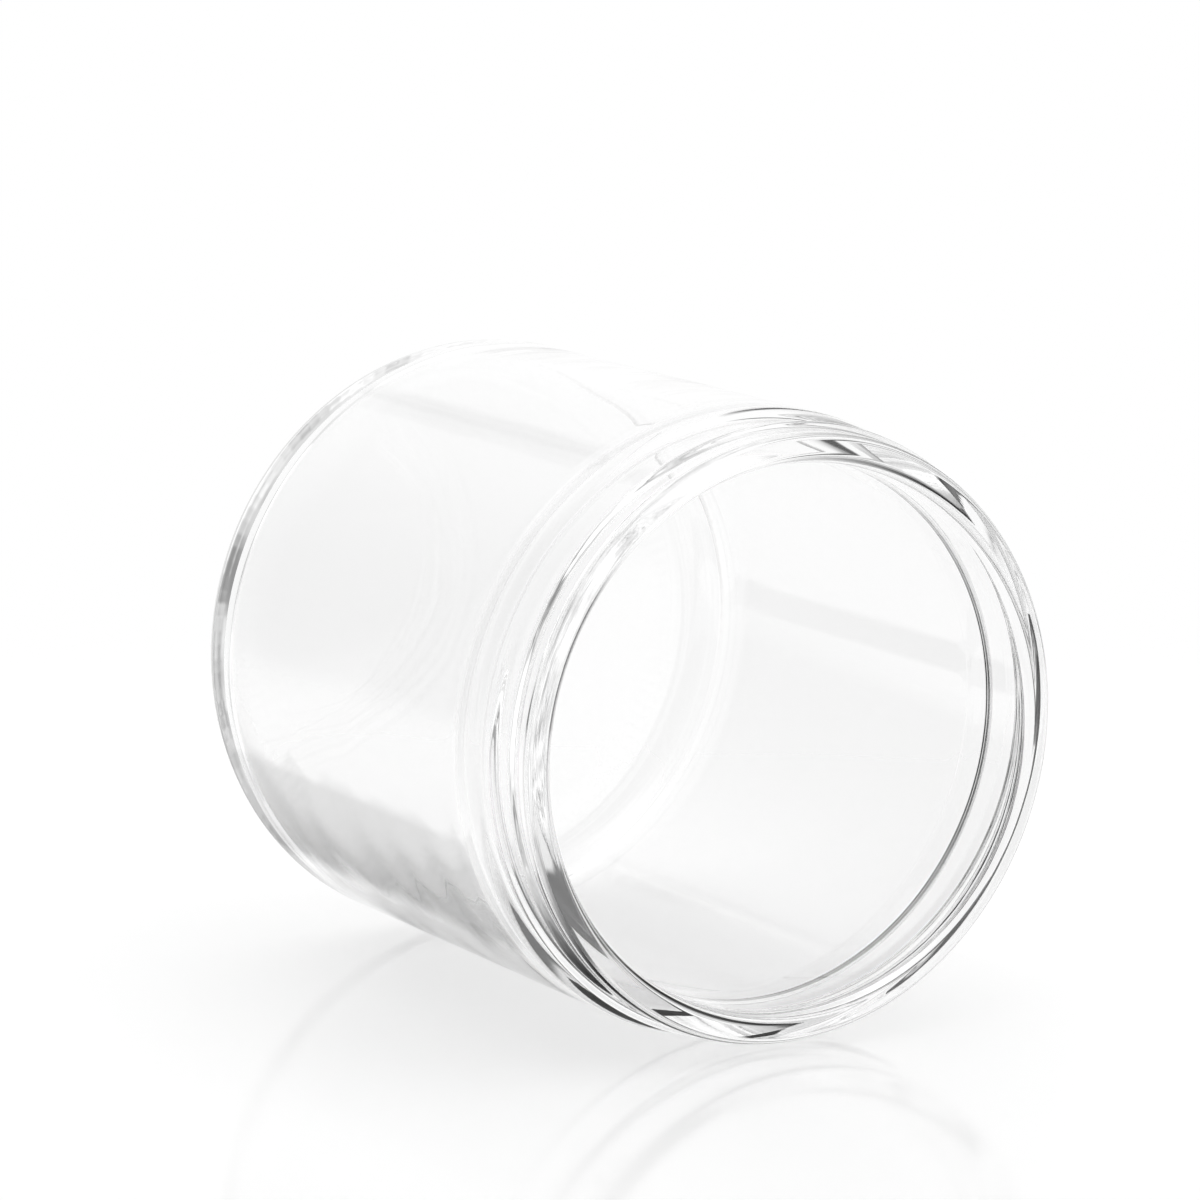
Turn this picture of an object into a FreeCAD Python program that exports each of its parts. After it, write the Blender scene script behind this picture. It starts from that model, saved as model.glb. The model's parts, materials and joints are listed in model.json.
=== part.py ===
"""Empty straight-sided candle jar: one moulded piece of clear glass with a screw-thread neck.

The jar stands on its base. The origin is the centre of the base at the level of the bearing
ring, and +Z runs up the jar's axis to the mouth. All lengths are in millimetres.
"""
import FreeCAD, Part

import math
import os

import Sketcher

Vector = FreeCAD.Vector

# Driving dimensions: alias, value, meaning.
SIZES = [
    ("body_dia", 91.0, "outside diameter of the straight body"),
    ("height", 96.0, "base to sealing rim"),
    ("body_wall", 3.0, "glass thickness of the straight body"),
    ("base_thickness", 4.2, "bearing ring to the edge of the inside floor"),
    ("heel_radius", 6.0, "outside edge between base and body"),
    ("bearing_dia", 68.0, "inside diameter of the flat ring that the jar stands on"),
    ("push_up", 1.6, "rise of the underside at its centre"),
    ("floor_dome", 0.9, "rise of the inside floor at its centre"),
    ("corner_radius", 5.2, "inside edge between floor and wall"),
    ("shoulder_radius", 2.6, "outside edge at the top of the body"),
    ("neck_dia", 87.3, "neck between the threads"),
    ("neck_fillet", 1.0, "outside corner between neck and shoulder"),
    ("finish_height", 11.35, "sealing rim down to the shoulder"),
    ("rim_outer_radius", 1.1, "outside edge of the sealing rim"),
    ("rim_inner_radius", 1.7, "inside edge of the sealing rim"),
    ("throat_dia", 78.4, "clear bore of the neck"),
    ("throat_length", 14.65, "sealing rim down to the throat's lower edge"),
    ("throat_edge_radius", 0.7, "lower edge of the throat"),
    ("inner_shoulder_radius", 4.6, "inside hollow below the throat"),
    ("thread_dia", 89.2, "outside diameter over the thread"),
    ("thread_bead_radius", 1.25, "rounded section of the thread ridge"),
    ("thread_root_depth", 1.3, "how far the ridge is rooted in the neck"),
    ("thread_drop", 3.1, "sealing rim down to the middle of the thread where it starts"),
    ("thread_pitch", 5.08, "drop of the thread in one turn"),
    ("thread_turns", 1.1, "turns of thread at full height"),
    ("thread_fade_turns", 0.07, "turns over which each end of the thread sinks into the neck"),
    ("thread_azimuth", 80.0, "direction of the thread's start about +Z, in degrees"),
]

# Sketcher's numbers for a sketch's own axes and for the named points of an edge.
X_AXIS, Y_AXIS = -1, -2
START, END, CENTRE = 1, 2, 3

FULL_TURN = 360
MM3_PER_CM3 = 1000
SECTIONS_PER_TURN = 60
SUNK_COVER = 0.12  # glass over the crest of the ridge where its ends have sunk in


def sheet_of_sizes(doc):
    """Put every driving dimension in its own named cell."""
    sheet = doc.addObject("Spreadsheet::Sheet", "sizes")
    for row, (alias, value, meaning) in enumerate(SIZES, start=1):
        sheet.set(f"A{row}", alias)
        sheet.set(f"B{row}", str(value))
        sheet.set(f"C{row}", meaning)
        sheet.setAlias(f"B{row}", alias)
    doc.recompute()


def size(doc, formula):
    """Present value of a formula over the sheet's cells."""
    value = doc.getObject("sizes").evalExpression(formula)
    return getattr(value, "Value", value)


def section_sketch(body, name):
    """New sketch on the body's XZ plane: across is away from the jar's axis, up is +Z."""
    plane = next(item for item in body.Origin.OriginFeatures if item.Role == "XZ_Plane")
    sketch = body.newObject("Sketcher::SketchObject", name)
    sketch.AttachmentSupport = [(plane, "")]
    sketch.MapMode = "FlatFace"
    return sketch


def line(sketch, start, end):
    return sketch.addGeometry(Part.LineSegment(Vector(*start, 0), Vector(*end, 0)))


def arc(sketch, centre, start, end):
    """Anticlockwise arc from start to end."""
    circle = Part.Circle(Vector(*centre, 0), Vector(0, 0, 1), math.dist(centre, start))
    angles = [math.atan2(point[1] - centre[1], point[0] - centre[0]) for point in (start, end)]
    return sketch.addGeometry(Part.ArcOfCircle(circle, *angles))


def dimension(sketch, name, formula, kind, *where):
    """Add a named dimension to the sketch and bind it to the sheet."""
    value = size(sketch.Document, formula)
    index = sketch.addConstraint(Sketcher.Constraint(kind, *where, value))
    sketch.renameConstraint(index, name)
    sketch.setExpression(f"Constraints.{name}", formula)


def join(sketch, kind, first, first_end, second, second_end):
    """Close two neighbouring edges: Coincident for a corner, Tangent for a smooth join."""
    sketch.addConstraint(Sketcher.Constraint(kind, first, first_end, second, second_end))


def rule(sketch, *terms):
    """Add a constraint that has no size."""
    sketch.addConstraint(Sketcher.Constraint(*terms))


def ledge(sketch, near_r, near_arc, near_level, far_r, far_arc):
    """Bend from an upright near the axis, down and out to an upright further from it.

    The upper arc starts at the near upright, where near_level is its centre's height, and the
    lower arc starts at the far upright. Each turns up to a quarter. They meet directly, or a level
    shelf joins them where the uprights are further apart than the two arcs reach.
    Returns the two arcs and the height of the lower one's centre.
    """
    near_x = near_r + near_arc
    far_x = far_r - far_arc
    reach = near_arc + far_arc
    far_level = near_level - math.sqrt(reach ** 2 - max(0, near_x - far_x) ** 2)
    if far_x > near_x:
        near_end = near_x, near_level - near_arc
        far_end = far_x, far_level + far_arc
    else:
        share = near_arc / reach
        near_end = near_x + share * (far_x - near_x), near_level + share * (far_level - near_level)
        far_end = near_end
    upper = arc(sketch, (near_x, near_level), (near_r, near_level), near_end)
    lower = arc(sketch, (far_x, far_level), (far_r, far_level), far_end)
    if far_x > near_x:
        shelf = line(sketch, near_end, far_end)
        join(sketch, "Tangent", upper, END, shelf, START)
        join(sketch, "Tangent", shelf, END, lower, END)
        rule(sketch, "Horizontal", shelf)
    else:
        join(sketch, "Tangent", upper, END, lower, END)
    return upper, lower, far_level


def wall_section(doc, body):
    """Half section of the whole wall of glass, from the underside round to the inside floor."""
    sketch = section_sketch(body, "wall_section")
    body_r = size(doc, "sizes.body_dia / 2")
    inner_r = body_r - size(doc, "sizes.body_wall")
    neck_r = size(doc, "sizes.neck_dia / 2")
    throat_r = size(doc, "sizes.throat_dia / 2")
    bearing_r = size(doc, "sizes.bearing_dia / 2")
    heel = size(doc, "sizes.heel_radius")
    shoulder = size(doc, "sizes.shoulder_radius")
    neck_fillet = size(doc, "sizes.neck_fillet")
    rim_out = size(doc, "sizes.rim_outer_radius")
    rim_in = size(doc, "sizes.rim_inner_radius")
    edge = size(doc, "sizes.throat_edge_radius")
    hollow = size(doc, "sizes.inner_shoulder_radius")
    corner = size(doc, "sizes.corner_radius")
    top = size(doc, "sizes.height")
    neck_low = top - size(doc, "sizes.finish_height")
    throat_low = top - size(doc, "sizes.throat_length")
    floor_edge = size(doc, "sizes.base_thickness")
    floor_mid = floor_edge + size(doc, "sizes.floor_dome")
    push_up = size(doc, "sizes.push_up")

    # Domes: a circle through the rim point and the centre point, centred on the axis.
    under_z = (push_up ** 2 - bearing_r ** 2) / (2 * push_up)
    floor_r = inner_r - corner
    floor_z = (floor_mid ** 2 - floor_edge ** 2 - floor_r ** 2) / (2 * (floor_mid - floor_edge))

    under = arc(sketch, (0, under_z), (bearing_r, 0), (0, push_up))
    bearing = line(sketch, (bearing_r, 0), (body_r - heel, 0))
    heel_arc = arc(sketch, (body_r - heel, heel), (body_r - heel, 0), (body_r, heel))
    fillet_arc, shoulder_arc, shoulder_z = ledge(
        sketch, neck_r, neck_fillet, neck_low, body_r, shoulder
    )
    outside = line(sketch, (body_r, heel), (body_r, shoulder_z))
    neck = line(sketch, (neck_r, neck_low), (neck_r, top - rim_out))
    rim_out_arc = arc(
        sketch, (neck_r - rim_out, top - rim_out), (neck_r, top - rim_out), (neck_r - rim_out, top)
    )
    land = line(sketch, (neck_r - rim_out, top), (throat_r + rim_in, top))
    rim_in_arc = arc(
        sketch, (throat_r + rim_in, top - rim_in), (throat_r + rim_in, top), (throat_r, top - rim_in)
    )
    throat = line(sketch, (throat_r, top - rim_in), (throat_r, throat_low))
    edge_arc, hollow_arc, hollow_z = ledge(sketch, throat_r, edge, throat_low, inner_r, hollow)
    inside = line(sketch, (inner_r, hollow_z), (inner_r, floor_edge + corner))
    corner_arc = arc(
        sketch, (floor_r, floor_edge + corner), (floor_r, floor_edge), (inner_r, floor_edge + corner)
    )
    floor = arc(sketch, (0, floor_z), (floor_r, floor_edge), (0, floor_mid))
    axis = line(sketch, (0, floor_mid), (0, push_up))

    join(sketch, "Coincident", under, START, bearing, START)
    join(sketch, "Tangent", bearing, END, heel_arc, START)
    join(sketch, "Tangent", heel_arc, END, outside, START)
    join(sketch, "Tangent", outside, END, shoulder_arc, START)
    join(sketch, "Tangent", fillet_arc, START, neck, START)
    join(sketch, "Tangent", neck, END, rim_out_arc, START)
    join(sketch, "Tangent", rim_out_arc, END, land, START)
    join(sketch, "Tangent", land, END, rim_in_arc, START)
    join(sketch, "Tangent", rim_in_arc, END, throat, START)
    join(sketch, "Tangent", throat, END, edge_arc, START)
    join(sketch, "Tangent", hollow_arc, START, inside, START)
    join(sketch, "Tangent", inside, END, corner_arc, END)
    join(sketch, "Coincident", corner_arc, START, floor, START)
    join(sketch, "Coincident", floor, END, axis, START)
    join(sketch, "Coincident", axis, END, under, END)

    for upright in (outside, neck, throat, inside):
        rule(sketch, "Vertical", upright)
    for level in (bearing, land):
        rule(sketch, "Horizontal", level)
    for dome in (under, floor):
        rule(sketch, "PointOnObject", dome, CENTRE, Y_AXIS)
    for end in (START, END):
        rule(sketch, "PointOnObject", axis, end, Y_AXIS)
    rule(sketch, "PointOnObject", bearing, START, X_AXIS)
    rule(sketch, "Vertical", corner_arc, CENTRE, corner_arc, START)

    across = "DistanceX", X_AXIS, START
    up = "DistanceY", X_AXIS, START
    dimension(sketch, "bearing_r", "sizes.bearing_dia / 2", *across, bearing, START)
    dimension(sketch, "body_r", "sizes.body_dia / 2", *across, outside, START)
    dimension(sketch, "inner_r", "sizes.body_dia / 2 - sizes.body_wall", *across, inside, START)
    dimension(sketch, "neck_r", "sizes.neck_dia / 2", *across, neck, START)
    dimension(sketch, "throat_r", "sizes.throat_dia / 2", *across, throat, START)
    dimension(sketch, "top", "sizes.height", *up, land, START)
    dimension(sketch, "neck_low", "sizes.height - sizes.finish_height", *up, neck, START)
    dimension(sketch, "throat_low", "sizes.height - sizes.throat_length", *up, throat, END)
    dimension(sketch, "floor_edge", "sizes.base_thickness", *up, corner_arc, START)
    dimension(sketch, "floor_mid", "sizes.base_thickness + sizes.floor_dome", *up, floor, END)
    dimension(sketch, "push_up", "sizes.push_up", *up, under, END)
    dimension(sketch, "heel", "sizes.heel_radius", "Radius", heel_arc)
    dimension(sketch, "shoulder", "sizes.shoulder_radius", "Radius", shoulder_arc)
    dimension(sketch, "neck_fillet", "sizes.neck_fillet", "Radius", fillet_arc)
    dimension(sketch, "rim_outer", "sizes.rim_outer_radius", "Radius", rim_out_arc)
    dimension(sketch, "rim_inner", "sizes.rim_inner_radius", "Radius", rim_in_arc)
    dimension(sketch, "throat_edge", "sizes.throat_edge_radius", "Radius", edge_arc)
    dimension(sketch, "hollow", "sizes.inner_shoulder_radius", "Radius", hollow_arc)
    dimension(sketch, "corner", "sizes.corner_radius", "Radius", corner_arc)
    return sketch


def bead_section(outwards, centre_r, level, bead, root_r):
    """Section of the ridge in the upright plane along outwards: a half-round bead, a square root."""
    lift = Vector(0, 0, bead)
    middle = outwards * centre_r + Vector(0, 0, level)
    root = outwards * root_r + Vector(0, 0, level)
    crest = Part.Arc(middle - lift, middle + outwards * bead, middle + lift)
    corners = [middle + lift, root + lift, root - lift, middle - lift]
    sides = [Part.makeLine(first, second) for first, second in zip(corners, corners[1:])]
    return Part.Wire([crest.toShape(), *sides])


def thread_ridge(doc):
    """Right-handed ridge round the neck, coming down from the rim and sinking in at both ends.

    It is one loft through sections that are spaced evenly along the helix. Their roots lie inside
    the wall of the neck.
    """
    bead = size(doc, "sizes.thread_bead_radius")
    neck_r = size(doc, "sizes.neck_dia / 2")
    full_r = size(doc, "sizes.thread_dia / 2") - bead
    sunk_r = neck_r - bead - SUNK_COVER
    root_reach = full_r - neck_r + size(doc, "sizes.thread_root_depth")
    start_level = size(doc, "sizes.height - sizes.thread_drop")
    pitch = size(doc, "sizes.thread_pitch")
    turns = size(doc, "sizes.thread_turns")
    fade = size(doc, "sizes.thread_fade_turns")
    azimuth = size(doc, "sizes.thread_azimuth")

    count = round((turns + 2 * fade) * SECTIONS_PER_TURN)
    wires = []
    for step in range(count + 1):
        run = (turns + 2 * fade) * step / count - fade
        past_end = max(0, -run, run - turns) / fade
        height_share = (1 + math.cos(math.pi * past_end)) / 2
        centre_r = sunk_r + (full_r - sunk_r) * height_share
        angle = math.radians(azimuth - FULL_TURN * run)
        outwards = Vector(math.cos(angle), math.sin(angle), 0)
        level = start_level - run * pitch
        wires.append(bead_section(outwards, centre_r, level, bead, centre_r - root_reach))
    ridge = doc.addObject("Part::Feature", "thread_ridge")
    ridge.Shape = Part.makeLoft(wires, True)
    return ridge


def glass_jar(doc):
    """The whole jar: the turned wall of glass with the thread ridge moulded on its neck."""
    body = doc.addObject("PartDesign::Body", "wall_body")
    section = wall_section(doc, body)
    wall = body.newObject("PartDesign::Revolution", "wall")
    wall.Profile = section
    wall.ReferenceAxis = (section, ["V_Axis"])
    wall.Angle = FULL_TURN
    doc.recompute()
    jar = doc.addObject("Part::Fuse", "glass_jar")
    jar.Label = "glass_jar"
    jar.Base = body
    jar.Tool = thread_ridge(doc)
    jar.Placement = FreeCAD.Placement()
    doc.recompute()
    if jar.Shape.Volume < body.Shape.Volume:
        raise RuntimeError("the thread ridge did not join the wall")
    return jar


def export(doc, parts):
    """Check every object of the document, then write one file for each sub-part."""
    for item in doc.Objects:
        if "Invalid" in item.State or "Error" in item.State:
            raise RuntimeError(f"{item.Name} did not recompute: {item.State}")
    os.makedirs("parts", exist_ok=True)
    for part in parts:
        shape = part.Shape
        if shape.isNull() or not shape.isValid() or len(shape.Solids) != 1:
            raise RuntimeError(f"{part.Label} is not one sound solid")
        shape.exportStep(f"parts/{part.Label}.step")
        print(f"{part.Label}: {shape.Volume / MM3_PER_CM3:.1f} cm3 of glass")


def main():
    doc = FreeCAD.newDocument("candle_jar")
    sheet_of_sizes(doc)
    jar = glass_jar(doc)
    export(doc, [jar])


main()
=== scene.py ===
"""An empty candle jar of clear pressed-and-blown glass, laid on its side on a white table."""

import json
import math

import bpy
import numpy as np
from bpy.props import FloatProperty, IntProperty, PointerProperty, StringProperty
from bpy.types import Operator, Panel, PropertyGroup
from mathutils import Matrix, Vector, noise


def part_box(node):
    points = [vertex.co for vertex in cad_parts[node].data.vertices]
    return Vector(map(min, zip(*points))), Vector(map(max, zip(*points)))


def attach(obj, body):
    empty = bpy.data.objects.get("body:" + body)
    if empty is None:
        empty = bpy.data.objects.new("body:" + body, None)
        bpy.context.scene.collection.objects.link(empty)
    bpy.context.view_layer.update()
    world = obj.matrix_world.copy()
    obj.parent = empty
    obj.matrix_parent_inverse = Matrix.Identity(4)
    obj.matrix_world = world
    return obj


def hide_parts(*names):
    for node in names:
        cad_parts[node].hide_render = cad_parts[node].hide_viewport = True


bl_info = {
    "name": "Candle jar",
    "version": (1, 0, 0),
    "blender": (4, 5, 0),
    "location": "3D View > Sidebar > Candle jar",
    "description": "Models an empty screw-neck candle jar of clear glass and the table that it lies on",
    "category": "Add Mesh",
}

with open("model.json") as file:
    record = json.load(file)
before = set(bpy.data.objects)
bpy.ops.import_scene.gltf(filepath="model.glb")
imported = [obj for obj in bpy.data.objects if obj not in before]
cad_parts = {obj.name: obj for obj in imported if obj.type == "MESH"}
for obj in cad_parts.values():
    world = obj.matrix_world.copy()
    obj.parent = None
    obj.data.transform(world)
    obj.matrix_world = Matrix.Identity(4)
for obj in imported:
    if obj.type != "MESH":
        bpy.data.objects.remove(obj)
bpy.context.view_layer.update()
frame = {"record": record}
JAR_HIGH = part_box("glass_jar")[1]
THROAT = next(mount for mount in frame["record"]["mounts"] if mount["name"] == "throat")

MM = 0.001
BODY_RADIUS = JAR_HIGH.x
JAR_HEIGHT = JAR_HIGH.z
THROAT_RADIUS = THROAT["dims"]["r_mm"] * MM
TOUCH = 0.01 * MM  # Points nearer than this to a surface lie on it.
MERGE = 0.004 * MM  # Points nearer than this to each other become one.

# The blown waves: where each kind starts in the noise, how settle waves are drawn out round the
# jar, how far from the settled side's middle they are full and gone, and the length below the
# throat over which all waves die away.
SWELL_START = (3.1, 0.4, 7.7)
SETTLE_START = (1.7, 4.2, 0.9)
SETTLE_STRETCH = np.array([0.45, 0.45, 1.0])
SETTLED_FULL, SETTLED_GONE = math.radians(16), math.radians(34)
WAVES_END = 9 * MM

# The jar lies on its side. These are the table's own directions in the jar's frame: up from the
# table, and along the jar towards its mouth.
TABLE_UP = Vector((1, -1, 0)).normalized()
TO_MOUTH = Vector((0, 0, 1))
TO_SIDE = TABLE_UP.cross(TO_MOUTH)


def linear(hex_colour):
    """Linear RGB of an sRGB hex colour."""
    channels = [int(hex_colour[i : i + 2], 16) / 255 for i in (1, 3, 5)]
    return [c / 12.92 if c <= 0.04045 else ((c + 0.055) / 1.055) ** 2.4 for c in channels]


def add_node(tree, kind, inputs=None, **settings):
    """Add a node with its settings, and fill its inputs with values or with other nodes' outputs."""
    node = tree.nodes.new(kind)
    for name, value in settings.items():
        setattr(node, name, value)
    for name, value in (inputs or {}).items():
        if isinstance(value, bpy.types.NodeSocket):
            tree.links.new(value, node.inputs[name])
        else:
            node.inputs[name].default_value = value
    return node


def length(name, description, default, low=0.0):
    """Property for a length in metres."""
    return FloatProperty(
        name=name, description=description, default=default, min=low, precision=5, unit="LENGTH"
    )


class JarSizes(PropertyGroup):
    """Sizes of the wall's section"""

    body_radius: length("Body radius", "Outside radius of the straight body", BODY_RADIUS)
    height: length("Height", "Bearing ring to sealing rim", JAR_HEIGHT)
    wall: length("Wall", "Glass thickness of the straight body", 3.0 * MM)
    base: length("Base", "Bearing ring to the edge of the inside floor", 4.2 * MM)
    heel: length("Heel", "Radius of the outside edge between base and body", 6.0 * MM)
    ring_radius: length("Bearing ring", "Inside radius of the ring it stands on", 34.0 * MM)
    push_up: length("Push-up", "Rise of the underside at its centre", 1.6 * MM)
    floor_dome: length("Floor dome", "Rise of the inside floor at its centre", 0.9 * MM)
    corner: length("Corner", "Radius between the inside floor and wall", 5.2 * MM)
    shoulder: length("Shoulder", "Radius of the outside edge at the top of the body", 2.6 * MM)
    neck_radius: length("Neck radius", "Outside radius between the threads", 43.65 * MM)
    neck_fillet: length("Neck fillet", "Hollow between neck and shoulder", 1.0 * MM)
    finish: length("Finish", "Sealing rim down to the shoulder", 11.35 * MM)
    rim_outer: length("Rim outside", "Radius of the rim's outer edge", 1.1 * MM)
    rim_inner: length("Rim inside", "Radius of the rim's inner edge", 1.7 * MM)
    throat_radius: length("Throat radius", "Clear bore of the neck", THROAT_RADIUS)
    throat: length("Throat", "Sealing rim down to the throat's lower edge", 14.65 * MM)
    throat_edge: length("Throat edge", "Radius of the throat's lower edge", 0.7 * MM)
    inner_shoulder: length("Inner shoulder", "Hollow below the throat", 4.6 * MM)
    around: IntProperty(
        name="Steps around", description="Faces round the jar", default=360, min=24
    )


class ThreadSizes(PropertyGroup):
    """Sizes of the thread on the neck"""

    crest_radius: length("Crest radius", "Outside radius over the thread", 44.6 * MM)
    half_width: length("Half width", "Middle of the ridge to its foot", 1.55 * MM)
    drop: length("Drop", "Rim down to the middle of the ridge at its start", 3.1 * MM)
    pitch: length("Pitch", "Drop of the ridge in one turn", 5.08 * MM)
    turns: FloatProperty(name="Turns", description="Turns at full height", default=1.1)
    fade: FloatProperty(name="Fade", description="Turns over which an end sinks in", default=0.07)
    start: FloatProperty(
        name="Start", description="Direction of the thread's start", default=math.radians(80),
        unit="ROTATION",
    )


class BlownSurface(PropertyGroup):
    """Small unevenness of pressed-and-blown glass"""

    swell: length("Swell", "Rise and fall of the blown inside wall", 0.05 * MM)
    swell_size: length("Swell size", "Distance between its swells", 22 * MM)
    settle: length(
        "Settle wave", "Rise and fall of the wall where the glass settled unevenly", 0.09 * MM
    )
    settle_size: length("Settle wave size", "Distance between settle waves, along the jar", 7 * MM)
    settle_around: FloatProperty(
        name="Settled side", description="Middle of the side where the glass settled unevenly",
        default=math.radians(72), unit="ROTATION",
    )
    seam: length("Seam", "Rise of the two mould seams", 0.05 * MM)
    seam_width: length("Seam width", "Foot to foot of a mould seam", 2.6 * MM)
    seam_around: FloatProperty(
        name="Seam direction", description="Direction of a mould seam from +X",
        default=math.radians(344), unit="ROTATION",
    )
    knurl: length("Knurl", "Depth of the grooves in the bearing ring", 0.03 * MM)
    knurls: IntProperty(
        name="Knurls", description="Grooves round the bearing ring", default=120
    )


class StudioSetup(PropertyGroup):
    """Table, lights and camera"""

    dim_level: FloatProperty(
        name="Dim level", description="Brightness of the studio around the cards", default=0.2
    )
    # The card is a dark stripe painted on the table that only the glass's mirroring sees: a painted
    # dark reflection low on the body.
    painted_card_middle: length(
        "Card", "Middle of the dark card, towards the jar's other side", -0.046, low=-1.0
    )
    painted_card_width: length("Card width", "Width of the dark card beside the jar", 0.034)
    painted_card_edge: length("Card edge", "Half the width over which the card's edge is soft", 3 * MM)
    painted_card_shade: FloatProperty(
        name="Card shade", description="Share of the table's brightness on the card", default=0.22
    )
    lamp_front: length(
        "Lamp front", "Where the lamp under the table ends, behind the jar's base", -0.10, low=-1.0
    )
    lamp_edge: length("Lamp edge", "Length over which the lamp dies away at its end", 0.06)
    lamp_level: FloatProperty(
        name="Lamp level", description="Brightness of the lit table", default=0.52
    )
    white: FloatProperty(name="White", description="Share of light the sheet throws back", default=0.6)
    table_back: length("Table back", "How far the table runs behind the jar's base", 0.222)
    table_side: length("Table side", "How far the table runs to each side and in front", 1.2)
    eye_right: length("Eye right", "Camera right of the jar's base centre", 0.02164)
    eye_back: length("Eye distance", "Camera in front of the jar's base centre", 0.81202)
    eye_up: length("Eye height", "Camera above the jar's axis", 0.16220)
    eye_pitch: FloatProperty(
        name="Pitch", description="Camera's look down", default=0.1923, unit="ROTATION"
    )
    jar_heading: FloatProperty(
        name="Heading", description="Jar's axis, from the camera's right towards the camera",
        default=1.034, unit="ROTATION",
    )
    lens: FloatProperty(name="Lens", description="Focal length in millimetres", default=160.22)
    sensor: FloatProperty(name="Sensor", description="Sensor width in millimetres", default=36)


def arc_points(centre, radius, first, last, steps):
    """Points of an arc, without its first one."""
    points = []
    for step in range(1, steps + 1):
        angle = math.radians(first + (last - first) * step / steps)
        points.append((centre[0] + radius * math.cos(angle), centre[1] + radius * math.sin(angle)))
    return points


def run_points(start, end, steps):
    """Evenly spaced points of a straight run, without its first one."""
    return [
        (start[0] + (end[0] - start[0]) * step / steps, start[1] + (end[1] - start[1]) * step / steps)
        for step in range(1, steps + 1)
    ]


def dome_points(start, end, steps):
    """Points of a shallow dome from start to end, one of which is on the jar's axis, without start."""
    outer, middle = (start, end) if end[0] == 0 else (end, start)
    rise = middle[1] - outer[1]
    points = []
    for step in range(1, steps + 1):
        radius = start[0] + (end[0] - start[0]) * step / steps
        points.append((radius, outer[1] + rise * (1 - (radius / outer[0]) ** 2)))
    return points


def wall_section(jar):
    """Outline of the glass from the middle of the underside to the middle of the inside floor."""
    inner = jar.body_radius - jar.wall
    shoulder_x = jar.body_radius - jar.shoulder
    fillet_x = jar.neck_radius + jar.neck_fillet
    neck_low = jar.height - jar.finish
    reach = jar.shoulder + jar.neck_fillet
    shoulder_z = neck_low - math.sqrt(reach ** 2 - (fillet_x - shoulder_x) ** 2)
    tilt = math.degrees(math.atan2(neck_low - shoulder_z, fillet_x - shoulder_x))
    throat_low = jar.height - jar.throat
    edge_x = jar.throat_radius + jar.throat_edge
    hollow_x = inner - jar.inner_shoulder
    reach = jar.throat_edge + jar.inner_shoulder
    hollow_z = throat_low - math.sqrt(reach ** 2 - (edge_x - hollow_x) ** 2)
    lean = math.degrees(math.atan2(throat_low - hollow_z, edge_x - hollow_x))
    floor_r = inner - jar.corner
    heel_x = jar.body_radius - jar.heel

    # The last number of each stretch is how many faces it has.
    points = [(0, jar.push_up)]
    points += dome_points(points[-1], (jar.ring_radius, 0), 14)
    points += run_points(points[-1], (heel_x, 0), 4)
    points += arc_points((heel_x, jar.heel), jar.heel, -90, 0, 14)
    points += run_points(points[-1], (jar.body_radius, shoulder_z), 22)
    points += arc_points((shoulder_x, shoulder_z), jar.shoulder, 0, tilt, 10)
    points += arc_points((fillet_x, neck_low), jar.neck_fillet, tilt - 180, -180, 7)
    points += run_points(points[-1], (jar.neck_radius, jar.height - jar.rim_outer), 62)
    points += arc_points(
        (jar.neck_radius - jar.rim_outer, jar.height - jar.rim_outer), jar.rim_outer, 0, 90, 7
    )
    points += run_points(points[-1], (jar.throat_radius + jar.rim_inner, jar.height), 2)
    points += arc_points(
        (jar.throat_radius + jar.rim_inner, jar.height - jar.rim_inner), jar.rim_inner, 90, 180, 9
    )
    points += run_points(points[-1], (jar.throat_radius, throat_low), 12)
    points += arc_points((edge_x, throat_low), jar.throat_edge, 180, 180 + lean, 8)
    points += arc_points((hollow_x, hollow_z), jar.inner_shoulder, lean, 0, 8)
    points += run_points(points[-1], (inner, jar.base + jar.corner), 30)
    points += arc_points((floor_r, jar.base + jar.corner), jar.corner, 0, -90, 10)
    points += dome_points(points[-1], (0, jar.base + jar.floor_dome), 14)
    return points


def thread_rise(thread, angle, drop):
    """Height of the thread ridge over the neck, at directions and drops below the rim."""
    rise = np.zeros_like(angle)
    for lap in range(-1, 3):
        run = (thread.start - angle) / math.tau + lap
        past = np.maximum(0, np.maximum(-run, run - thread.turns)) / thread.fade
        share = np.where(past < 1, (1 + np.cos(np.pi * np.minimum(past, 1))) / 2, 0)
        off = np.abs(drop - thread.drop - run * thread.pitch) / thread.half_width
        bead = np.where(off < 1, (1 + np.cos(np.pi * np.minimum(off, 1))) / 2, 0)
        rise = np.maximum(rise, share * bead)
    return rise


def swells(places, size, offset):
    """Smooth noise from -1 to 1 at each place, in swells of this size."""
    shift = Vector(offset)
    return np.array([noise.noise(Vector(place) / size + shift) for place in places])


def smooth_step(low, high, values):
    """Smooth rise from 0 at low to 1 at high."""
    share = np.clip((values - low) / (high - low), 0, 1)
    return share * share * (3 - 2 * share)


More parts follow.
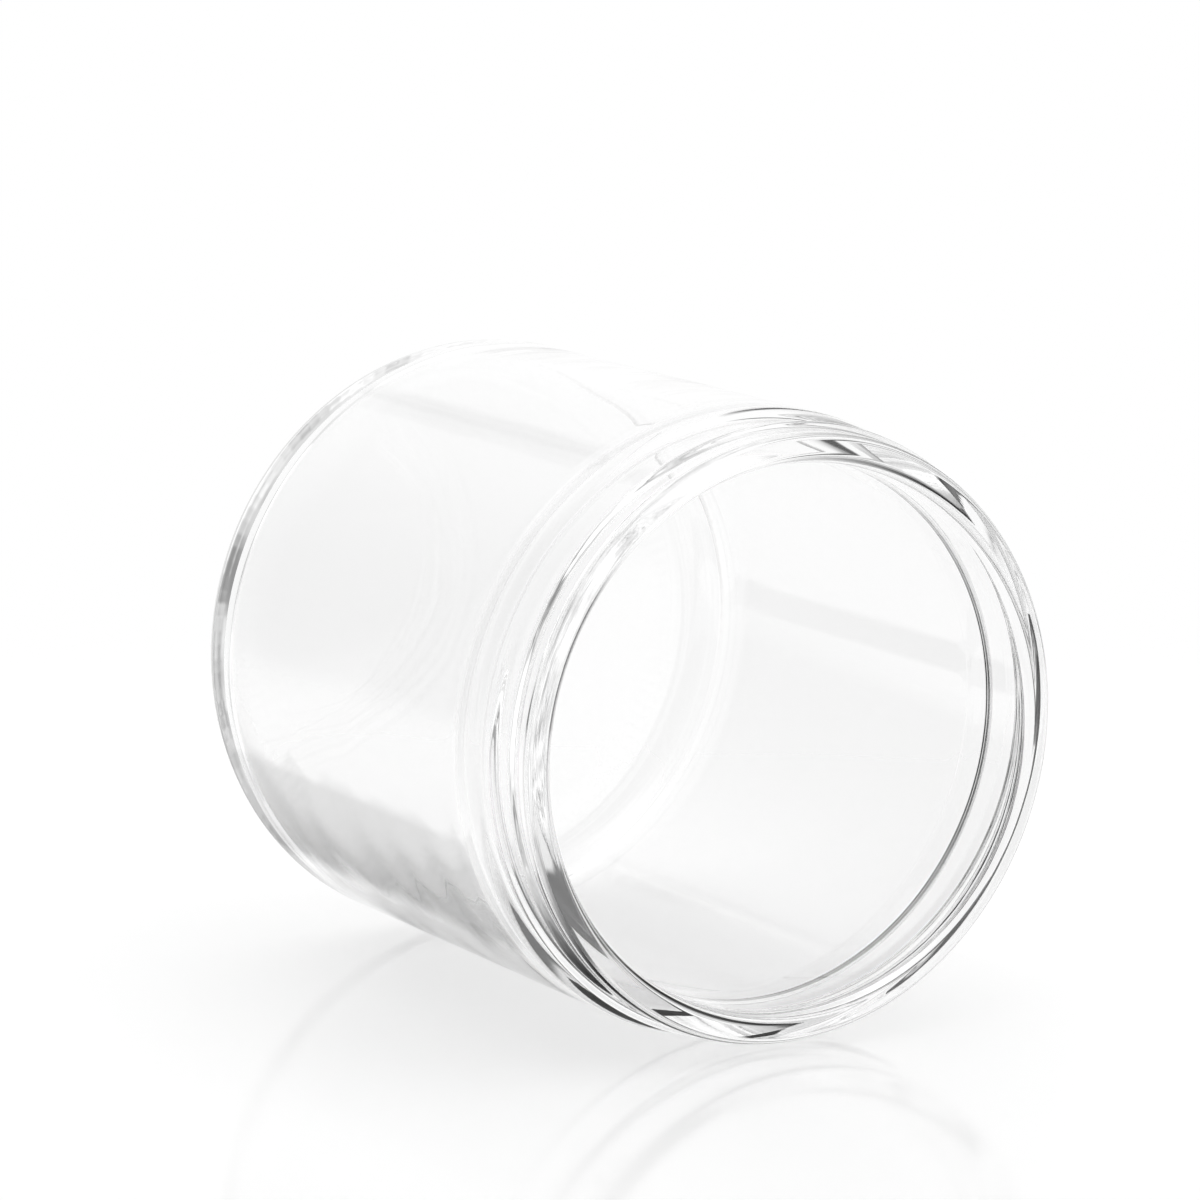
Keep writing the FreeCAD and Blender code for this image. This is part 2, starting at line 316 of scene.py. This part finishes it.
class CANDLE_OT_jar(Operator):
    """Spin the jar's wall, raise its thread and give the glass its blown surface"""

    bl_idname = "candle.jar"
    bl_label = "Model the jar"

    def execute(self, context):
        jar = context.scene.jar_sizes
        section = wall_section(jar)
        bpy.ops.object.select_all(action="DESELECT")
        bpy.ops.mesh.primitive_plane_add(size=MM)
        piece = context.object
        piece.name = "jar_of_clear_glass"
        bpy.ops.object.mode_set(mode="EDIT")
        bpy.ops.mesh.merge(type="CENTER")
        bpy.ops.transform.translate(value=(section[0][0], 0, section[0][1]))
        for last, point in zip(section, section[1:]):
            step = (point[0] - last[0], 0, point[1] - last[1])
            bpy.ops.mesh.extrude_region_move(TRANSFORM_OT_translate={"value": step})
        bpy.ops.mesh.select_all(action="SELECT")
        bpy.ops.mesh.spin(steps=jar.around, angle=math.tau, center=(0, 0, 0), axis=(0, 0, 1))
        bpy.ops.mesh.select_all(action="SELECT")
        bpy.ops.mesh.remove_doubles(threshold=MERGE)
        bpy.ops.mesh.normals_make_consistent(inside=False)
        bpy.ops.object.mode_set(mode="OBJECT")
        self.mould(context, piece)
        bpy.ops.object.shade_smooth()
        piece.data.materials.append(clear_glass(context.scene.glass_look))
        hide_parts("glass_jar")
        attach(piece, "root")
        return {"FINISHED"}

    def mould(self, context, piece):
        """Move the wall's points for the thread, the blown inside and the mould seams."""
        jar = context.scene.jar_sizes
        thread = context.scene.thread_sizes
        blown = context.scene.blown_surface
        count = len(piece.data.vertices)
        places = np.zeros(count * 3)
        piece.data.vertices.foreach_get("co", places)
        places = places.reshape(-1, 3)
        radius = np.hypot(places[:, 0], places[:, 1])
        angle = np.arctan2(places[:, 1], places[:, 0])
        height = places[:, 2].copy()

        neck = np.abs(radius - jar.neck_radius) < TOUCH
        neck &= height > jar.height - jar.finish - TOUCH
        rise = thread_rise(thread, angle, jar.height - height)
        push = np.where(neck, rise * (thread.crest_radius - jar.neck_radius), 0.0)

        inner = jar.body_radius - jar.wall
        throat_low = jar.height - jar.throat
        inside = (radius < inner + TOUCH) & (height > jar.base - TOUCH)
        inside &= height < throat_low + TOUCH
        body = smooth_step(jar.base, jar.base + 3 * jar.corner, height)
        body *= 1 - smooth_step(throat_low - WAVES_END, throat_low, height)
        wave = blown.swell * swells(places, blown.swell_size, SWELL_START)
        stretched = places * SETTLE_STRETCH
        off = np.abs(np.mod(angle - blown.settle_around + math.pi, math.tau) - math.pi)
        settled = 1 - smooth_step(SETTLED_FULL, SETTLED_GONE, off)
        wave += blown.settle * settled * swells(stretched, blown.settle_size, SETTLE_START)
        push += np.where(inside, wave * body, 0.0)

        outside = np.abs(radius - jar.body_radius) < TOUCH
        width = blown.seam_width / 2 / jar.body_radius
        off = np.abs(np.mod(angle - blown.seam_around + math.pi / 2, math.pi) - math.pi / 2)
        ridge = 1 - smooth_step(0, width, off)
        push -= np.where(outside, blown.seam * (1 - ridge), 0.0)

        ring = (height < TOUCH) & (radius > jar.ring_radius + TOUCH)
        groove = (1 - np.cos(blown.knurls * angle)) / 2
        places[:, 2] += np.where(ring, blown.knurl * groove, 0.0)

        scale = np.where(radius > MM, (radius + push) / np.maximum(radius, MM), 1.0)
        places[:, 0] *= scale
        places[:, 1] *= scale
        piece.data.vertices.foreach_set("co", places.ravel())
        piece.data.update()


class GlassLook(PropertyGroup):
    """Colour and finish of the glass"""

    tint: StringProperty(
        name="Tint", description="Colour of the glass, as sRGB hex", default="#FFFFFF"
    )
    ior: FloatProperty(name="IOR", description="Soda-lime glass", default=1.52)
    roughness: FloatProperty(name="Roughness", description="Fire-polished surface", default=0.0)
    # Brightness of the painted glow that the glass gives off, standing in for light that runs on inside
    # its wall.
    painted_glow: FloatProperty(
        name="Painted glow", description="Brightness of light that runs on inside the wall",
        default=0.62,
    )
    ring_gap: length(
        "Ring gap", "Distance between the fine rings that forming leaves in the glass", 1.1 * MM
    )


# Painted glow, standing in for light that runs on inside the glass wall. It is added past this many
# mirrorings. It is painted brighter towards +X, the side that lies uppermost, between two shares of
# the body's radius, from the low level to 1, and brighter on the base, fading above it between two
# heights.
PAINTED_GLOW_PAST = 3.5
UPPER_SIDE = (-0.4, 0.5)
PAINTED_GLOW_LOW, PAINTED_GLOW_BASE = 0.02, 0.9
BASE_FADE = (8 * MM, 20 * MM)

# Fine rings. They are drawn out round the glass by this much, and the noise between these two values
# dims the painted glow, down to the low share. The bump is this deep, and stronger from the neck up.
RING_STRETCH = 0.06
RING_NOISE = (0.38, 0.56)
RING_LOW = 0.25
RING_DEPTH = 0.02 * MM
BODY_BUMP, NECK_BUMP = 0.08, 0.25
NECK_RISE = (JAR_HEIGHT - 17 * MM, JAR_HEIGHT - 12 * MM)


def clear_glass(look):
    """Soda-lime container glass, pressed and blown, then fire-polished."""
    # To the eye it is colourless and quite clear, and shows by the sharp dark and bright lines along
    # its edges, with fine uneven rings in the neck.
    material = bpy.data.materials.new("Soda-lime glass, fire-polished")
    material.use_nodes = True
    tree = material.node_tree
    tree.nodes.clear()
    # Light that is mirrored again and again between the two faces of the wall comes out of it
    # somewhere else. Past the last mirroring that is followed, a painted glow stands in for it: the
    # glass gives off light here though it is no lamp.
    path = add_node(tree, "ShaderNodeLightPath")
    painted_glow = add_node(tree, "ShaderNodeMath", {
        0: path.outputs["Glossy Depth"], 1: PAINTED_GLOW_PAST,
    }, operation="GREATER_THAN")
    # Fine rings round the glass, drawn out by the plunger and the blow head.
    place = add_node(tree, "ShaderNodeTexCoord")
    around = RING_STRETCH / look.ring_gap
    stretched = add_node(tree, "ShaderNodeVectorMath", {
        0: place.outputs["Object"], 1: (around, around, 1 / look.ring_gap),
    }, operation="MULTIPLY")
    rings = add_node(tree, "ShaderNodeTexNoise", {
        "Vector": stretched.outputs["Vector"], "Scale": 1.0, "Detail": 3.0, "Roughness": 0.6,
    })
    share = add_node(tree, "ShaderNodeMapRange", {
        "Value": rings.outputs["Fac"], "From Min": RING_NOISE[0], "From Max": RING_NOISE[1],
        "To Min": RING_LOW, "To Max": 1.0,
    }, interpolation_type="SMOOTHSTEP")
    # Painted light: the glow is painted brighter on the side that lies uppermost, towards +X, and
    # on the base.
    parts = add_node(tree, "ShaderNodeSeparateXYZ", {0: place.outputs["Object"]})
    upper = add_node(tree, "ShaderNodeMapRange", {
        "Value": parts.outputs["X"],
        "From Min": UPPER_SIDE[0] * BODY_RADIUS, "From Max": UPPER_SIDE[1] * BODY_RADIUS,
        "To Min": PAINTED_GLOW_LOW, "To Max": 1.0,
    }, interpolation_type="SMOOTHSTEP")
    base = add_node(tree, "ShaderNodeMapRange", {
        "Value": parts.outputs["Z"], "From Min": BASE_FADE[0], "From Max": BASE_FADE[1],
        "To Min": PAINTED_GLOW_BASE, "To Max": 0.0,
    }, interpolation_type="SMOOTHSTEP")
    painted_glow_share = add_node(tree, "ShaderNodeMath", {
        0: upper.outputs["Result"], 1: base.outputs["Result"],
    }, operation="MAXIMUM")
    level = add_node(tree, "ShaderNodeMath", {
        0: painted_glow.outputs["Value"], 1: painted_glow_share.outputs["Value"],
    }, operation="MULTIPLY")
    ringed = add_node(tree, "ShaderNodeMath", {
        0: level.outputs["Value"], 1: share.outputs["Result"],
    }, operation="MULTIPLY")
    strength = add_node(tree, "ShaderNodeMath", {
        0: ringed.outputs["Value"], 1: look.painted_glow,
    }, operation="MULTIPLY")
    relief = add_node(tree, "ShaderNodeMapRange", {
        "Value": parts.outputs["Z"], "From Min": NECK_RISE[0], "From Max": NECK_RISE[1],
        "To Min": BODY_BUMP, "To Max": NECK_BUMP,
    }, interpolation_type="SMOOTHSTEP")
    bump = add_node(tree, "ShaderNodeBump", {
        "Strength": relief.outputs["Result"], "Distance": RING_DEPTH, "Height": rings.outputs["Fac"],
    })
    shader = add_node(tree, "ShaderNodeBsdfPrincipled", {
        "Base Color": (*linear(look.tint), 1),
        "Roughness": look.roughness,
        "IOR": look.ior,
        "Transmission Weight": 1.0,
        "Normal": bump.outputs["Normal"],
        "Emission Color": (1, 1, 1, 1),
        "Emission Strength": strength.outputs["Value"],
    })
    add_node(tree, "ShaderNodeOutputMaterial", {"Surface": shader.outputs["BSDF"]})
    return material


# Soft cards of the studio, each painted over those before it: name, bearing in degrees from straight
# behind the jar towards the right, height in degrees, radius in degrees where it is full and where
# it has faded out, and brightness.
CARDS = (
    ("white wall behind", 0, -5, 46, 72, 1.0),
    ("soft box on the right", 112, 42, 22, 42, 1.0),
    ("soft box overhead", 0, 84, 28, 56, 1.05),
    ("black room in front", 180, 0, 25, 60, 0.03),
    ("black flag on the left", -86, 28, 10, 22, 0.03),
    ("black flag over the right", 36, 40, 8, 18, 0.08),
    ("gap in the white wall", -22, 30, 1.0, 4.0, 0.7),
)

TABLE_GAP = 0.02 * MM  # Between the jar and the table under it
LAMP_IN_GLASS, LAMP_DARK = 0.9, 0.05  # The lamp as the glass sees it, and past its end
HORIZON_START = -0.02  # Where the table starts to fade into the white behind it


def on_table(studio, right, away, up):
    """Point or direction in the jar's frame, from the camera's right, away and up on the table."""
    cos, sin = math.cos(studio.jar_heading), math.sin(studio.jar_heading)
    to_right = TO_MOUTH * cos + TO_SIDE * sin
    to_back = TO_SIDE * cos - TO_MOUTH * sin
    return to_right * right + to_back * away + TABLE_UP * up


class CANDLE_OT_studio(Operator):
    """Lay the table, hang the lights and set the camera"""

    bl_idname = "candle.studio"
    bl_label = "Set up the studio"

    def execute(self, context):
        studio = context.scene.studio_setup
        self.table(context, studio)
        self.world(context, studio)
        self.camera(context, studio)
        context.scene.view_settings.view_transform = "Standard"
        return {"FINISHED"}

    def table(self, context, studio):
        """Lay the sheet that the jar lies on, one face seen only from its upper side."""
        bpy.ops.object.select_all(action="DESELECT")
        bpy.ops.mesh.primitive_plane_add(size=1)
        table = context.object
        table.name = "table"
        side, back = studio.table_side, studio.table_back
        low = -(BODY_RADIUS + TABLE_GAP)
        corners = [(-side, -side), (side, -side), (-side, back), (side, back)]
        for vertex, (right, away) in zip(table.data.vertices, corners):
            vertex.co = on_table(studio, right, away, low)
        table.data.materials.append(self.lit_sheet(studio))
        if table.data.polygons[0].normal.dot(TABLE_UP) < 0:
            table.data.flip_normals()

    def lit_sheet(self, studio):
        """White acrylic sheet, extruded smooth, with a lamp under it."""
        # To the eye it is an even white, with the jar faintly mirrored where it lies close.
        material = bpy.data.materials.new("White acrylic sheet, lit from below")
        material.use_nodes = True
        tree = material.node_tree
        tree.nodes.clear()
        clear = add_node(tree, "ShaderNodeBsdfTransparent")
        place = add_node(tree, "ShaderNodeTexCoord")
        away = add_node(tree, "ShaderNodeVectorMath", {
            0: place.outputs["Object"], 1: on_table(studio, 0, 1, 0),
        }, operation="DOT_PRODUCT")
        # The lamp under the sheet ends in front of the jar: the glass bends and mirrors that dark part.
        lit = add_node(tree, "ShaderNodeMapRange", {
            "Value": away.outputs["Value"],
            "From Min": studio.lamp_front - studio.lamp_edge, "From Max": studio.lamp_front,
            "To Min": LAMP_DARK, "To Max": LAMP_IN_GLASS * studio.lamp_level,
        }, interpolation_type="SMOOTHSTEP")
        # Painted dark reflection: a dark stripe, standing for a dark card, is painted on the sheet
        # along the jar's left side, and the glass mirrors it low on the body.
        across = add_node(tree, "ShaderNodeVectorMath", {
            0: place.outputs["Object"], 1: TO_SIDE,
        }, operation="DOT_PRODUCT")
        offset = add_node(tree, "ShaderNodeMath", {
            0: across.outputs["Value"], 1: studio.painted_card_middle,
        }, operation="SUBTRACT")
        reach = add_node(tree, "ShaderNodeMath", {0: offset.outputs["Value"]}, operation="ABSOLUTE")
        half = studio.painted_card_width / 2
        card = add_node(tree, "ShaderNodeMapRange", {
            "Value": reach.outputs["Value"],
            "From Min": half - studio.painted_card_edge, "From Max": half + studio.painted_card_edge,
            "To Min": studio.painted_card_shade, "To Max": 1.0,
        }, interpolation_type="SMOOTHSTEP")
        # The painted dark stripe shows only where the glass mirrors it, not straight through the glass
        # or to the camera.
        path = add_node(tree, "ShaderNodeLightPath")
        straight = add_node(tree, "ShaderNodeMath", {
            0: path.outputs["Glossy Depth"], 1: 0.5,
        }, operation="LESS_THAN")
        share = add_node(tree, "ShaderNodeMath", {
            0: card.outputs["Result"], 1: straight.outputs["Value"],
        }, operation="MAXIMUM")
        # The glass sees the lamp's end and the painted dark stripe, and the camera sees the sheet
        # evenly lit.
        ground = add_node(tree, "ShaderNodeMath", {
            0: lit.outputs["Result"], 1: share.outputs["Value"],
        }, operation="MULTIPLY")
        white = add_node(tree, "ShaderNodeMath", {
            0: share.outputs["Value"], 1: studio.white,
        }, operation="MULTIPLY")
        glow = add_node(tree, "ShaderNodeMix", {
            "Factor": path.outputs["Is Camera Ray"],
            "A": ground.outputs["Value"], "B": studio.lamp_level,
        })
        paint = add_node(tree, "ShaderNodeMix", {
            "Factor": path.outputs["Is Camera Ray"],
            "A": white.outputs["Value"], "B": studio.white,
        })
        shader = add_node(tree, "ShaderNodeBsdfPrincipled", {
            "Base Color": paint.outputs["Result"],
            "Roughness": 0.1,
            "Specular IOR Level": 0.12,
            "Emission Color": (1, 1, 1, 1),
            "Emission Strength": glow.outputs["Result"],
        })
        fade = add_node(tree, "ShaderNodeMapRange", {
            "Value": away.outputs["Value"],
            "From Min": HORIZON_START, "From Max": studio.table_back, "To Min": 0.0, "To Max": 1.0,
        }, interpolation_type="SMOOTHSTEP")
        facing = add_node(tree, "ShaderNodeNewGeometry")
        gone = add_node(tree, "ShaderNodeMath", {
            0: fade.outputs["Result"], 1: facing.outputs["Backfacing"],
        }, operation="MAXIMUM")
        mix = add_node(tree, "ShaderNodeMixShader", {
            "Fac": gone.outputs["Value"], 1: shader.outputs["BSDF"], 2: clear.outputs["BSDF"],
        })
        add_node(tree, "ShaderNodeOutputMaterial", {"Surface": mix.outputs["Shader"]})
        return material

    def world(self, context, studio):
        """Hang the soft cards: the glass sees them, and the camera sees white all round."""
        world = bpy.data.worlds.new("studio")
        context.scene.world = world
        world.use_nodes = True
        tree = world.node_tree
        tree.nodes.clear()
        place = add_node(tree, "ShaderNodeTexCoord")
        level = add_node(tree, "ShaderNodeValue").outputs[0]
        level.default_value = studio.dim_level
        for name, bearing, height, inner, outer, brightness in CARDS:
            turn, rise = math.radians(bearing), math.radians(height)
            right = math.sin(turn) * math.cos(rise)
            away = math.cos(turn) * math.cos(rise)
            toward = add_node(tree, "ShaderNodeVectorMath", {
                0: place.outputs["Generated"], 1: on_table(studio, right, away, math.sin(rise)),
            }, operation="DOT_PRODUCT", label=name)
            share = add_node(tree, "ShaderNodeMapRange", {
                "Value": toward.outputs["Value"],
                "From Min": math.cos(math.radians(outer)),
                "From Max": math.cos(math.radians(inner)),
            }, interpolation_type="SMOOTHSTEP")
            mix = add_node(tree, "ShaderNodeMix", {
                "Factor": share.outputs["Result"], "A": level, "B": brightness,
            })
            level = mix.outputs["Result"]
        path = add_node(tree, "ShaderNodeLightPath")
        seen = add_node(tree, "ShaderNodeMath", {
            0: level, 1: path.outputs["Is Camera Ray"],
        }, operation="MAXIMUM")
        background = add_node(tree, "ShaderNodeBackground", {
            "Color": (1, 1, 1, 1), "Strength": seen.outputs["Value"],
        })
        add_node(tree, "ShaderNodeOutputWorld", {"Surface": background.outputs["Background"]})

    def camera(self, context, studio):
        """Set the camera in front of the table, looking a little down."""
        bpy.ops.object.select_all(action="DESELECT")
        data = bpy.data.cameras.new("eye")
        eye = bpy.data.objects.new("eye", data)
        context.collection.objects.link(eye)
        data.lens = studio.lens
        data.sensor_width = studio.sensor
        data.clip_start = 0.01
        data.clip_end = 100
        place = on_table(studio, studio.eye_right, -studio.eye_back, studio.eye_up)
        right = on_table(studio, 1, 0, 0)
        look = on_table(studio, 0, math.cos(studio.eye_pitch), -math.sin(studio.eye_pitch))
        up = right.cross(look)
        turn = Matrix((right, up, -look)).transposed().to_4x4()
        eye.matrix_world = Matrix.Translation(place) @ turn
        context.scene.camera = eye


class CANDLE_PT_panel(Panel):
    """Buttons that model the jar and set up the studio"""

    bl_label = "Candle jar"
    bl_idname = "CANDLE_PT_panel"
    bl_space_type = "VIEW_3D"
    bl_region_type = "UI"
    bl_category = "Candle jar"

    def draw(self, context):
        for operator in OPERATORS:
            self.layout.operator(operator.bl_idname)


OPERATORS = (CANDLE_OT_jar, CANDLE_OT_studio)
GROUPS = {
    "jar_sizes": JarSizes,
    "thread_sizes": ThreadSizes,
    "blown_surface": BlownSurface,
    "glass_look": GlassLook,
    "studio_setup": StudioSetup,
}


def register():
    for group in GROUPS.values():
        bpy.utils.register_class(group)
    for name, group in GROUPS.items():
        setattr(bpy.types.Scene, name, PointerProperty(type=group))
    for operator in (*OPERATORS, CANDLE_PT_panel):
        bpy.utils.register_class(operator)


def unregister():
    for operator in (CANDLE_PT_panel, *reversed(OPERATORS)):
        bpy.utils.unregister_class(operator)
    for name in GROUPS:
        delattr(bpy.types.Scene, name)
    for group in reversed(GROUPS.values()):
        bpy.utils.unregister_class(group)


def main():
    register()
    bpy.ops.candle.jar()
    bpy.ops.candle.studio()


if __name__ == "__main__":
    main()
